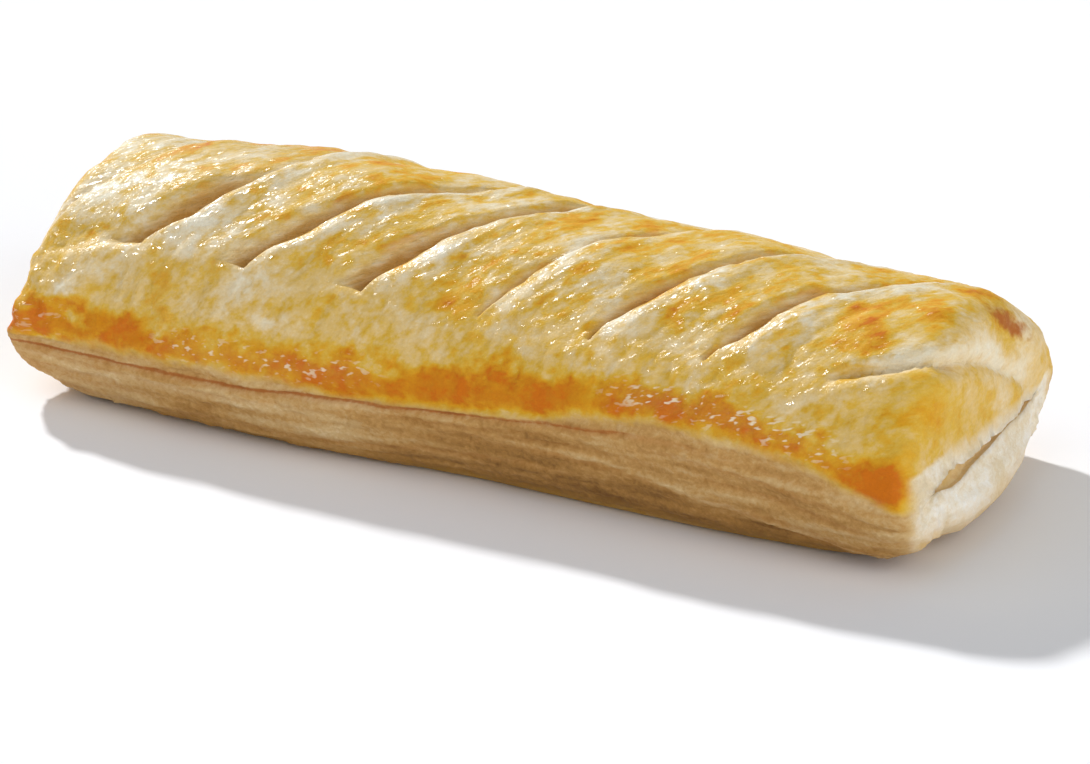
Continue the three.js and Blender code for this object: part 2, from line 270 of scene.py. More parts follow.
def section(x, part, k):
    """y and z of the plain loaf's outline at x."""
    t = x / HALF_LENGTH
    front_y, back_y = station(FRONT_EDGE_Y, t), station(BACK_EDGE_Y, t)
    front_z, back_z = station(FRONT_EDGE_Z, t), station(BACK_EDGE_Z, t)
    middle, half = (front_y + back_y) / 2, (back_y - front_y) / 2
    across = np.cos(k * np.pi)
    edge_z = mix(front_z, back_z, 0.5 - 0.5 * across)
    height = clip01(np.sin(k * np.pi)) ** DOME_FULLNESS
    dome_y = middle - half * np.sign(across) * np.abs(across) ** DOME_SQUARENESS
    dome_z = mix(edge_z, station(RIDGE_Z, t), height)
    down = np.where(part == BACK, k, 1 - k) * (np.pi / 2)
    base_inset = station(BASE_INSET, t)
    inset = base_inset * (1 - np.cos(down))
    drop = 1 - clip01(np.sin(down)) ** SIDE_FULLNESS
    base_y = mix(back_y - base_inset, front_y + base_inset, k)
    y = by_part(part, dome_y, back_y - inset, base_y, front_y + inset)
    return y, by_part(part, dome_z, back_z * drop, 0.0, front_z * drop)


def slash_x(slash, y):
    run = np.maximum(0.0, y - slash["y"])
    return slash["x"] + slash["lean"] * run + slash["hook"] * (1 - np.exp(-run / HOOK_RUN))


def guide_x(guide, part, k, y):
    """Where the column that follows a slash crosses a row."""
    back = min(slash_x(guide, VALLEY_TO), GUIDE_LIMIT)
    dome = np.minimum(slash_x(guide, np.minimum(y, VALLEY_TO)), GUIDE_LIMIT)
    return by_part(part, dome, back, mix(back, guide["x"], k), guide["x"])


def body_surface(columns):
    """x, y, z of the plain loaf for every body column and row, with the columns led along the slashes."""
    left = HALF_LENGTH - end_rounding(row_part, row_k, "left")[0]
    right = HALF_LENGTH - end_rounding(row_part, row_k, "right")[0]
    x = np.repeat(columns[:, None], len(row_k), 1)
    for _ in range(SETTLE_ROUNDS):
        y, _z = section(x, row_part, row_k)
        for r in range(len(row_k)):
            knots, places = [-BODY_HALF], [-left[r]]
            for guide in GUIDES:
                middle = guide["x"]
                here = np.interp(middle, columns, y[:, r])
                there = float(guide_x(guide, row_part[r:r + 1], row_k[r:r + 1], np.array([here]))[0])
                knots += [middle - GUIDE_REACH, middle + GUIDE_REACH]
                places += [there - GUIDE_REACH, there + GUIDE_REACH]
            x[:, r] = np.interp(columns, knots + [BODY_HALF], places + [right[r]])
    y, z = section(x, row_part, row_k)
    return np.stack([x, y, z], -1)


def slit_gap(y):
    """Half the height of the end slit: open at the front and the back, and nearly shut in the middle."""
    gap = SLIT_SHUT + sum(opening * hill(y, middle, reach) for middle, reach, opening in SLIT_OPENINGS)
    return gap * (1 + 0.6 * noise(y * 0.6, 3.3, 1.7))


def slit_angle():
    """The angle round the end slit that each row closes on."""
    side = SIDE_TURN * row_k
    return np.pi * by_part(row_part, row_k, 1 + side, 1 + SIDE_TURN + row_k - 2 * side, 2 - SIDE_TURN + side)


def end_surface(side):
    """A rounded end and the pocket behind its slit, as columns from the body outwards and then inwards."""
    sign = 1.0 if side == "right" else -1.0
    radius, power = end_rounding(row_part, row_k, side)
    steps = np.linspace(0, 1, END_COLUMNS + 1)[1:, None]
    angles = np.pi / 2 * mix(steps, 1 - (1 - steps) ** RIM_CROWDING, 0.5)
    reach = np.sin(angles) ** (2 / power)
    share = clip01(np.cos(angles)) ** (2 / power)
    share[-1] = 0.0
    x = sign * (HALF_LENGTH - radius + radius * reach)
    rim_y, rim_z = section(x, row_part, row_k)
    turn = slit_angle()
    slit_y = SLIT["y"] - SLIT["half_width"] * np.cos(turn)
    slit_z = SLIT["z"] + slit_gap(slit_y) * np.sin(turn)
    y, z = mix(slit_y, rim_y, share), mix(slit_z, rim_z, share)
    roundness = 1 - clip01(np.abs(y - END_BOW["y"]) / END_BOW["half_width"]) ** 2
    bow = END_BOW[side] * roundness * hill(z, END_BOW["height"], END_BOW["spread"])
    outer = np.stack([x + sign * bow * reach**2, y, z], -1)
    depth = np.linspace(0, 1, POCKET_COLUMNS + 1)[1:]
    inner = outer[-1] - depth[:, None, None] * [sign * SLIT["depth"], 0.0, 0.0]
    inside = np.concatenate([np.zeros(END_COLUMNS), depth])
    fade = np.concatenate([np.cos(angles[:, 0]) ** 0.5, np.zeros(POCKET_COLUMNS)])
    return np.concatenate([outer, inner]), inside, fade


def plain_loaf():
    """The plain loaf as columns by rows of points, how far inside a slit each is, and how the ends fade."""
    columns = body_columns()
    body = body_surface(columns)
    left, left_inside, left_fade = end_surface("left")
    right, right_inside, right_fade = end_surface("right")
    points = np.concatenate([left[::-1], body, right])
    inside = np.concatenate([left_inside[::-1], np.zeros(len(columns)), right_inside])
    fade = np.concatenate([left_fade[::-1], np.ones(len(columns)), right_fade])
    every_row = np.ones(len(row_k))
    return points, inside[:, None] * every_row, fade[:, None] * every_row


def grid_normals(points):
    """Outward unit normals of a columns-by-rows surface that closes round the rows."""
    along = np.gradient(points, axis=0)
    round_it = np.roll(points, -1, 1) - np.roll(points, 1, 1)
    normal = np.cross(along, round_it)
    length = np.linalg.norm(normal, axis=-1, keepdims=True)
    return normal / np.maximum(length, 1e-9)


# ---- slashes

# Where the features of a slash come and go: in y from its start (runs), and in y (the others).
START_RUN, WOBBLE_RUN, DIP_RUN = (-0.8, 1.8), (0, 4), (-2, 6)
WIDTH_RUN, BLUNT_RUN = (3, 16), (0, 6)
CLOSING_LENGTH = 6
SHALLOWER_Y, SHADE_Y = (-14, 2), (-14, 0)
CREASE_ENDS, DIP_ENDS, BULGE_ENDS = (9, 17), (12, 26), (6, 20)
# Width and power of a slash's slopes: of the thin crease that carries it on, and of the soft dip's two sides.
CREASE_SLOPE = (3.0, 1.5)
DIP_WALL, DIP_LIP = (9.0, 1.6), (3.6, 1.6)
POCKET_POWER = 1.35
# The swelling of the skin just past the lip: its distance, which is also its reach, and its height.
LIP_BULGE = {"at": 2.3, "height": 0.5}


def slope_up(across, width, power=1.0):
    """From 0 at -width to 1 at the slash."""
    return clip01(1 + across / width) ** power


def slope_down(across, width, power=1.0):
    """From 1 at the slash to 0 at width."""
    return clip01(1 - across / width) ** power


def slash_relief(x, y):
    """What the slashes do over the dome: depth, hang of the lip, and masks of wall, painted pit shade and
    lip.
    """
    depth, hang, wall_mask, pit_mask, lip_mask = (np.zeros_like(x) for _ in range(5))
    for number, slash in enumerate(SLASHES):
        run = y - slash["y"]
        wobble = 0.8 * noise(y * 0.11, number * 7.3, 0.5) + 0.35 * noise(y * 0.5, number * 3.1, 9.5)
        across = (x - slash_x(slash, y)) * ACROSS - wobble * rise(run, *WOBBLE_RUN)
        on_wall = across < 0
        share = clip01(slash["depth"] / FULL_DEPTH)

        # How open the pocket is along the slash, and how strong the crease and the dip are.
        start = rise(run, *START_RUN)
        eye = start * fall(y, slash["closes"] - CLOSING_LENGTH, slash["closes"])
        eye = eye * (1 - 0.3 * ramp(y, *SHALLOWER_Y))
        if number == BRIDGE["slash"]:
            eye = eye * (1 - hill(y, BRIDGE["y"], BRIDGE["reach"]))
        crease = start * fall(y, *CREASE_ENDS)
        dip = rise(run, *DIP_RUN) * fall(y, *DIP_ENDS)

        width = mix(slash["low"], slash["high"], ramp(run, *WIDTH_RUN))
        width = width * mix(slash["blunt"], 1, rise(run, *BLUNT_RUN))
        back = slope_up(across, width)
        lip = slope_down(across, SLASH_LIP, 2)
        bulge = hill(across, LIP_BULGE["at"], LIP_BULGE["at"]) * start * fall(y, *BULGE_ENDS)
        depth += slash["depth"] * eye * np.where(on_wall, back**POCKET_POWER, lip)
        depth += crease * np.where(on_wall, slope_up(across, *CREASE_SLOPE), lip) * (0.35 + 0.75 * share)
        slope = np.where(on_wall, slope_up(across, *DIP_WALL), slope_down(across, *DIP_LIP))
        depth += slash["valley"] * dip * slope
        depth -= LIP_BULGE["height"] * bulge * share
        top = rise(across, 0.1, SLASH_LIP) * np.exp(-np.maximum(across - SLASH_LIP, 0) / 1.3)
        hang += slash["over"] * (eye + 0.4 * crease) * top

        # The torn wall, whose upper rim is rough, and the painted shade low down in the pocket and the
        # crease.
        rough = 0.16 * noise(x * 0.5, y * 0.5, number * 2.3)
        raw = rise(back + rough, 0.05, 0.45) * rise(eye, 0.03, 0.35)
        fine = 0.55 * rise(slope_up(across, 1.8) + rough, 0.1, 0.7) * crease
        wall_mask = np.maximum(wall_mask, np.maximum(raw, fine) * (across < 0.1) * share)
        high = ramp(y, *SHADE_Y)
        near_lip = slope_down(across, 0.3)
        shade = np.where(on_wall, ramp(back, mix(0.22, 0.12, high), mix(0.56, 0.46, high)), near_lip)
        line = np.where(on_wall, clip01(1.4 + across / 1.6), near_lip)
        pit_mask = np.maximum(pit_mask, np.maximum(shade * eye, 0.6 * line * crease) * share)
        lip_mask = np.maximum(lip_mask, bulge * share)
    return depth, hang, wall_mask, pit_mask, lip_mask


def lump_height(x, y):
    return sum(height * np.sin(along * x + across * y + phase) for height, along, across, phase in LUMPS)


def turned(x, y, centre_x=0, centre_y=0):
    """Distances from a centre along and across the slashes' direction."""
    dx, dy = x - centre_x, y - centre_y
    return dx * math.cos(SLANT) + dy * math.sin(SLANT), dx * math.sin(SLANT) - dy * math.cos(SLANT)


# ---- relief of the skin and of the ends

# Swellings of the skin: centre (x, y), reach along and across the slashes' direction, height.
PUFFS = [
    (-59.0, -12.0, 9.0, 5.0, 0.5), (-40.0, -8.0, 12.0, 4.0, 0.7), (-22.0, -8.0, 12.0, 4.0, 0.6),
    (-4.0, -12.0, 9.0, 4.5, 0.7), (14.0, -12.0, 10.0, 5.0, 0.7), (33.0, -12.0, 10.0, 4.5, 0.7),
    (48.0, -10.0, 9.0, 4.5, 0.8), (60.0, -9.0, 8.0, 4.0, 0.7),
]
# Beads and hollows near the loaf's corners: centre, reach, height.
BEADS = [
    ((-74.5, -26.0, 11.0), 2.4, 0.6), ((-72.0, -26.5, 15.0), 2.4, 0.9), ((-73.5, -24.0, 18.0), 2.2, -0.5),
    ((-66.0, -25.0, 19.3), 2.6, 0.9), ((-62.5, -24.5, 19.9), 2.6, 0.7), ((-64.0, -26.5, 16.0), 3.0, -0.4),
    ((76.0, 22.0, 15.6), 2.0, 0.8), ((75.5, 17.0, 20.0), 6.0, 0.9),
    ((-73.5, -7.0, 26.0), 7.0, 0.8), ((-72.0, -21.0, 21.5), 3.0, -0.5),
]
# The cut that runs down over the right end, and the fold that leads up to the first open slash.
END_CUT = [(56.6, -20.8, 25.8), (64.4, -16.9, 27.7), (69.6, -13.5, 28.0), (73.6, -7.3, 26.4),
           (75.0, 2.3, 22.5), (76.0, 9.5, 18.5), (76.0, 15.5, 13.4)]
LEFT_FOLD = [(-68.5, -22.4, 21.6), (-63.7, -20.9, 24.2), (-59.5, -20.4, 25.2), (-55.0, -19.7, 26.4)]
# The curl of a torn sheet near the right end of the ridge, and the fine crack low on the right end.
CURL = [(62.0, -0.2, 32.8), (64.3, -2.6, 32.5), (67.0, -3.4, 32.2), (70.0, -2.6, 31.6)]
END_CRACK = [(76.6, -8.0, 7.2), (77.0, -1.5, 6.9), (76.9, 4.0, 6.8), (76.5, 8.5, 7.4)]


class Crease:
    """A smooth line over the loaf, and where each point of the surface lies beside it."""

    FAR = 99.0

    def __init__(self, through, loaf, reach=14.0, samples=120):
        t = np.linspace(-1, 1, samples)
        line = np.stack([station([p[i] for p in through], t) for i in range(3)], -1)
        step = np.gradient(line, axis=0)
        spacing = np.linalg.norm(step, axis=1)
        tangent = step / spacing[:, None]
        self.across = np.full(loaf.x.shape, self.FAR)
        self.along = np.full(loaf.x.shape, -1.0)
        near = np.all((loaf.base > line.min(0) - reach) & (loaf.base < line.max(0) + reach), -1)
        here, facing = loaf.base[near], loaf.normal[near]
        nearest = np.argmin(((here[:, None] - line[None]) ** 2).sum(-1), 1)
        offset = here - line[nearest]
        ahead = (offset * tangent[nearest]).sum(-1)
        sideways = offset - ahead[:, None] * tangent[nearest]
        outward = np.cross(tangent[nearest], facing)
        sign = np.sign((sideways * outward).sum(-1))
        self.across[near] = sign * np.linalg.norm(sideways, axis=-1)
        self.along[near] = (nearest + ahead / spacing[nearest]) / (samples - 1)


def skin_relief(loaf, wall, lip):
    """Soft swellings of the egg-washed skin, and wrinkles drawn out along the slashes."""
    x, y, z = loaf.x, loaf.y, loaf.z
    along, across = turned(x, y)
    wrinkle = noise.layered(across * 0.3, along * 0.13, z * 0.1, 3)
    crinkle = noise.layered(across * 0.8 + 5, along * 0.42, z * 0.3, 2)
    soft = noise.layered(x * 0.1, y * 0.12, z * 0.1 + 4, 3)
    out = (0.26 + 0.1 * lip) * wrinkle + (0.09 + 0.05 * lip) * crinkle + 0.45 * soft
    out = out * loaf.on_dome * (1 - 0.85 * wall)
    for centre_x, centre_y, long, wide, tall in PUFFS:
        along, across = turned(x, y, centre_x, centre_y)
        puff = tall * np.exp(-((along / long) ** 2) - (across / wide) ** 2)
        out = out + puff * rise(loaf.height, 0.02, 0.3) * loaf.fade
    for centre, reach, tall in BEADS:
        out = out + tall * np.exp(-((loaf.base - centre) ** 2).sum(-1) / reach**2) * loaf.outside
    # Blisters over the crust edge, and knobs at the loaf's front left corner.
    over_edge = z - loaf.edge_z
    blister = noise.layered(x * 0.42, y * 0.42, z * 0.6, 2) * hill(over_edge, 4, 3)
    knobs = noise.layered(x * 0.4, y * 0.4 + 6, z * 0.4, 2, 0.6) * rise(over_edge, -1, 2)
    knobs = knobs * ramp(-x, 60, 70) * ramp(-y, 16, 22)
    return out + (0.18 * blister + 0.55 * knobs) * loaf.dome


def end_cut(loaf):
    """The last slash, over the right end: relief, and masks of wall, painted shade in the cut and the pale
    skin behind it.
    """
    cut = Crease(END_CUT, loaf)
    span = rise(cut.along, 0.0, 0.1) * fall(cut.along, 0.9, 1.0) * loaf.outside
    deep = mix(2.6, 1.5, rise(cut.along, 0.12, 0.5))
    wide = mix(1.9, 2.6, rise(cut.along, 0.0, 0.5))
    cut_wall = slope_up(cut.across, wide) * (cut.across < 0)
    cut_lip = slope_down(cut.across, 2.0, 1.5) * (cut.across >= 0)
    out = span * (0.6 * hill(cut.across, 3, 2.6) - deep * (cut_wall**1.2 + cut_lip))
    wall = 0.75 * span * cut_wall * (cut.across > -wide)
    # Painted shade along the cut line, strongest where it starts.
    pit = span * hill(cut.across, 0, 0.7) * mix(0.9, 0.25, clip01(cut.along * 1.6))
    pale = span * hill(cut.across, -2.0, 2.2) * ramp(cut.along, 0.05, 0.25)
    return out, wall, pit, pale


def left_fold(loaf):
    """The relief of the fold that leads up to the first open slash."""
    fold = Crease(LEFT_FOLD, loaf)
    across = fold.across + 0.6 * noise(loaf.x * 0.2, loaf.y * 0.2, 7.7)
    ridge = 0.6 * hill(across, 0, np.where(across > 0, 3.0, 1.3))
    span = rise(fold.along, -0.1, 0.25) * fall(fold.along, 0.9, 1.1)
    return span * (ridge - 0.4 * hill(across, -3.0, 2.2))


def torn_curl(loaf):
    """The relief of the curl, and the mask of its pale edge."""
    curl = Crease(CURL, loaf)
    span = rise(curl.along, 0, 0.15) * fall(curl.along, 0.85, 1) * loaf.outside
    return span * 0.4 * hill(curl.across, 0, 0.9), span * hill(curl.across, 0, 0.45)


def end_crack(loaf):
    """How much each point lies in the crack low on the right end."""
    crack = Crease(END_CRACK, loaf)
    across = crack.across + 0.5 * noise(loaf.y * 0.4, loaf.z * 0.4, 3.3)
    return hill(across, 0, 0.35) * ramp(crack.along, 0, 0.1) * (1 - ramp(crack.along, 0.9, 1)) * loaf.outside


# The pale end face: how far it climbs over the crust edge at the left, and at the right from front to back,
# where it ends across the loaf, and where it ends round the loaf's upright corners, which are at CORNER_Y.
FACE_RIM = {"left": 1.6, "right": (4.2, 0.8), "right_y": (-18, 4)}
FACE_HALF_WIDTH = {"left": 21.0, "right": 28.0}
FACE_CORNER = (73.8, 77.4)
CORNER_Y = 28.5


def end_face_mask(loaf):
    """How much each point belongs to the pale, crumbly face of an end."""
    x, y, z = loaf.x, loaf.y, loaf.z
    rim = np.where(x > 0, mix(*FACE_RIM["right"], ramp(y, *FACE_RIM["right_y"])), FACE_RIM["left"])
    limit = np.where(x > 0, FACE_HALF_WIDTH["right"], FACE_HALF_WIDTH["left"])
    facing = rise(np.abs(loaf.normal[..., 0]), 0.3, 0.75) * rise(loaf.round_corner, *FACE_CORNER)
    below_rim = ramp(loaf.below + 0.5 * noise(x * 0.4, y * 0.4, 5.5), -rim, 0.8 - rim)
    inward = 1 - ramp(np.abs(y + 1), limit, limit + 3)
    return facing * below_rim * inward * ramp(z, 0.8, 3.6) * loaf.at_end * loaf.outside


# ---- the laminated sides

# The sheets of a side: depth of the gap above each below the crust's edge, its cut, how much it wanders, and
# how far it sinks towards the right.
SHEETS = [(1.1, 0.42, 0.35, 0.0), (2.6, 0.18, 0.5, 0.5), (4.3, 0.24, 0.6, 1.2), (5.4, 0.34, 0.35, 5.6),
          (8.2, 0.24, 0.9, 2.0)]
SINKS_OVER = (8, 56)
# The sheet that sinks most stands out as a ledge, with painted highlight on its crest and painted shade
# below.
LEDGE = {"sink": 4, "from": (4, 20)}
# The first gap is a clear crease that fades over these x. The distance to it is measured up to CREASE_REACH.
CREASE_ENDS_OVER = (28, 50)
CREASE_REACH = 2.0


def side_relief(x, y, below):
    """Swell and gaps of the laminated sides, sheet paleness with painted light at the ledge, and crease
    distance.
    """
    swell = 0.45 * noise.layered(x * 0.05, y * 0.05, below * 0.3, 2, 0.6)
    swell += 0.3 * noise.layered(x * 0.16, y * 0.16, below * 0.9, 3, 0.6)
    swell += 0.4 * hill(below, 3.2, 2.2) - 0.15 * ramp(below, 7, 12)
    gaps, tone = np.zeros_like(x), np.zeros_like(x)
    for number, (place, cut, wander, sink) in enumerate(SHEETS):
        sway = wander * (1.3 * noise(x * 0.035, y * 0.035, number * 5.1)
                         + 0.45 * noise(x * 0.15, y * 0.15, number * 3.7))
        present = ramp(noise(x * 0.03 + 40, y * 0.05, number * 9.2), -0.35, 0.15)
        off = below - place - sway - sink * rise(x, *SINKS_OVER)
        if number == 0:
            present = 1 - 0.8 * ramp(x, *CREASE_ENDS_OVER)
            crease = np.minimum(np.abs(off), CREASE_REACH) + CREASE_REACH * (1 - present)
        groove = hill(off, 0, np.where(off < 0, 0.22, 0.6)) * present
        step = noise(x * 0.028 + 9, y * 0.04, number * 6.6)
        swell = swell - cut * groove + 0.35 * step * ramp(off, -0.2, 0.5)
        gaps = np.maximum(gaps, groove * min(1, cut * 2.0))
        tone = tone + 0.26 * step * ramp(off, -0.3, 0.3)
        if sink > LEDGE["sink"]:
            # Painted highlight along the ledge's crest and painted shade just below it.
            ledge = ramp(x, *LEDGE["from"])
            tone = tone + ledge * (0.34 * hill(off, -0.55, 0.6) - 0.04 * ramp(off, 0, 0.5))
            swell = swell + ledge * 0.34 * hill(off, -0.7, 1.0)
    return swell, gaps, tone, crease


def shape_pastry():
    """The pastry's points, and the loaf that they stand on with its masks."""
    base, inside, fade = plain_loaf()
    x, y, z = base[..., 0], base[..., 1], base[..., 2]
    part = np.broadcast_to(row_part, x.shape)
    loaf = SimpleNamespace(base=base, x=x, y=y, z=z, inside=inside, fade=fade)
    loaf.outside, loaf.dome = inside == 0, part == DOME
    loaf.t = x / HALF_LENGTH
    loaf.normal = grid_normals(base)
    loaf.edge_z = np.where(y < 0, station(FRONT_EDGE_Z, loaf.t), station(BACK_EDGE_Z, loaf.t))
    loaf.below = loaf.edge_z - z
    loaf.height = np.where(loaf.dome, np.sin(np.broadcast_to(row_k, x.shape) * np.pi), 0.0)
    loaf.on_dome = rise(loaf.height, 0.1, 0.6) * fade
    loaf.at_end = ramp(np.abs(x), HALF_LENGTH - 5, HALF_LENGTH - 1)
    loaf.round_corner = np.abs(x) + 0.5 * (CORNER_Y - np.abs(y))

    depth, hang, wall, pit, lip = slash_relief(x, y)
    crumbs = hill(x, CRUMBS["x"], CRUMBS["long"]) * hill(y, CRUMBS["y"], CRUMBS["wide"])
    pit = np.maximum(pit, crumbs * wall * ramp(noise(x * 0.7, y * 0.7, 2.2), -0.1, 0.3))
    points = base.copy()
    points[..., 0] -= HANG_X * hang * loaf.on_dome
    points[..., 1] += HANG_Y * hang * loaf.on_dome
    points[..., 2] -= depth * loaf.on_dome - LUMP_SHARE * lump_height(x, y) * loaf.height * fade

    cut_out, cut_wall, cut_pit, cut_pale = end_cut(loaf)
    curl_out, curl_pale = torn_curl(loaf)
    out = skin_relief(loaf, wall, lip) + cut_out + curl_out + left_fold(loaf)
    loaf.wall = np.maximum(wall * loaf.on_dome, cut_wall)
    loaf.pit = np.maximum(pit * loaf.on_dome, cut_pit)
    loaf.pale = np.maximum(cut_pale, curl_pale)
    loaf.lip = lip * loaf.on_dome

    # The laminated sides below the crust edge, the groove along that edge, and the crumbly end faces.
    side = ~loaf.dome & (part != BASE)
    end_wall = ramp(np.abs(x), HALF_LENGTH - 4, HALF_LENGTH) * ramp(loaf.below + 1.0, 0, 2)
    loaf.layered = np.maximum(side, end_wall) * ramp(z, 0.0, 1.2) * loaf.outside
    swell, gaps, loaf.tone, loaf.crease = side_relief(x, y, loaf.below)
    calm = 1 - 0.65 * loaf.at_end
    loaf.gaps = gaps * loaf.layered * calm
    flaky = noise.layered(x * 0.6, y * 0.6, loaf.below * 1.3, 2, 0.7)
    out = out + loaf.layered * (swell * calm + 0.16 * flaky)
    edge_band = hill(loaf.below, 0, 1.0) * loaf.outside * (part != BASE)
    out = out - edge_band * (0.4 + 0.2 * noise(x * 0.13, y * 0.13, 1.0)) * (1 - loaf.at_end)
    loaf.end_face = end_face_mask(loaf)
    crumb = noise.layered(x * 0.45, y * 0.45, z * 0.8, 3, 0.65)
    out = out + loaf.end_face * (0.38 * crumb + 0.3 * hill(loaf.below, -1.6, 1.2))
    loaf.cracked = end_crack(loaf)
    out = out - 0.7 * loaf.cracked

    out = np.where((part == BASE) & (fade >= 1), 0.0, out) * loaf.outside
    points += loaf.normal * out[..., None]
    points[..., 2] = np.maximum(points[..., 2], 0.0)
    return points, loaf


# ---- mesh making


def put(name, data):
    """A new object of the data, in the scene."""
    thing = bpy.data.objects.new(name, data)
    bpy.context.scene.collection.objects.link(thing)
    return thing


def make_mesh(name, points, faces, attributes=None):
    mesh = bpy.data.meshes.new(name)
    mesh.from_pydata((points * MM).tolist(), [], faces)
    mesh.validate()
    for key, values in (attributes or {}).items():
        layer = mesh.attributes.new(key, "FLOAT", "POINT")
        layer.data.foreach_set("value", np.ascontiguousarray(values, dtype=np.float32))
    mesh.shade_smooth()
    return put(name, mesh)


def tube_faces(columns, rows):
    """Quads between neighbouring columns of points, closed round the rows, and a fan at each end."""
    at = np.arange(columns * rows).reshape(columns, rows)
    following = np.roll(at, -1, 1)
    quads = np.stack([at[:-1], at[1:], following[1:], following[:-1]], -1).reshape(-1, 4).tolist()
    first, last = columns * rows, columns * rows + 1
    start = [(first, int(at[0, j]), int(following[0, j])) for j in range(rows)]
    end = [(last, int(following[-1, j]), int(at[-1, j])) for j in range(rows)]
    return quads + start + end


def close_ends(grid):
    """The grid's points in one list, with the middle of its first and last column added."""
    flat = grid.reshape(-1, grid.shape[-1])
    return np.concatenate([flat, grid[:1].mean(1), grid[-1:].mean(1)])


# ---- materials


def new_material(name):
    material = bpy.data.materials.new(name)
    material.use_nodes = True
    return material


def srgb(red, green, blue):
    """A colour given as 0 to 255 screen values, as the linear colour that a shader takes."""
    def linear(value):
        value = value / 255
        return value / 12.92 if value <= 0.04045 else ((value + 0.055) / 1.055) ** 2.4
    return (linear(red), linear(green), linear(blue), 1.0)


# Colours by how far the crust has baked, by how light a side's sheet is with painted shade towards the base,
# and by noise over the dough, the torn walls and the meat.
CRUST = [
    (0.0, srgb(246, 234, 206)), (0.18, srgb(240, 217, 172)), (0.34, srgb(233, 197, 122)),
    (0.48, srgb(227, 183, 66)), (0.62, srgb(225, 167, 30)), (0.78, srgb(220, 150, 14)),
    (0.88, srgb(213, 132, 6)), (0.98, srgb(213, 115, 2)),
]
LAYERS = [
    (0.0, srgb(134, 94, 44)), (0.28, srgb(176, 129, 66)), (0.52, srgb(201, 156, 92)),
    (0.78, srgb(217, 183, 128)), (1.0, srgb(234, 210, 164)),
]
DOUGH = [(0.34, srgb(236, 217, 182)), (0.55, srgb(249, 239, 220)), (0.75, srgb(254, 251, 244))]
TORN = [(0.34, srgb(208, 170, 104)), (0.5, srgb(231, 202, 146)), (0.68, srgb(246, 230, 194))]
MEAT = [(0.3, srgb(150, 100, 66)), (0.5, srgb(186, 136, 98)), (0.72, srgb(214, 176, 138))]
PAINTED_GLINT = srgb(253, 238, 208)
SCORCHED = srgb(178, 92, 32)
GAP_LINE = srgb(176, 104, 40)
CREASE_LINE = srgb(172, 98, 38)
RIND = srgb(226, 184, 108)
UNDERSIDE = srgb(192, 144, 70)
# Painted shade in the pockets, the end cut and the crack, also the brown of the crumbs and inside the slit.
PIT_SHADE_AND_CRUMBS = srgb(186, 138, 66)
# Tints that multiply a colour: skylight on what faces up, and the fine grain, as linear colours.
SKYLIT = (0.88, 0.935, 1.0, 1)
GRAIN = [(0.3, (0.86, 0.84, 0.8, 1)), (0.7, (1, 1, 1, 1))]


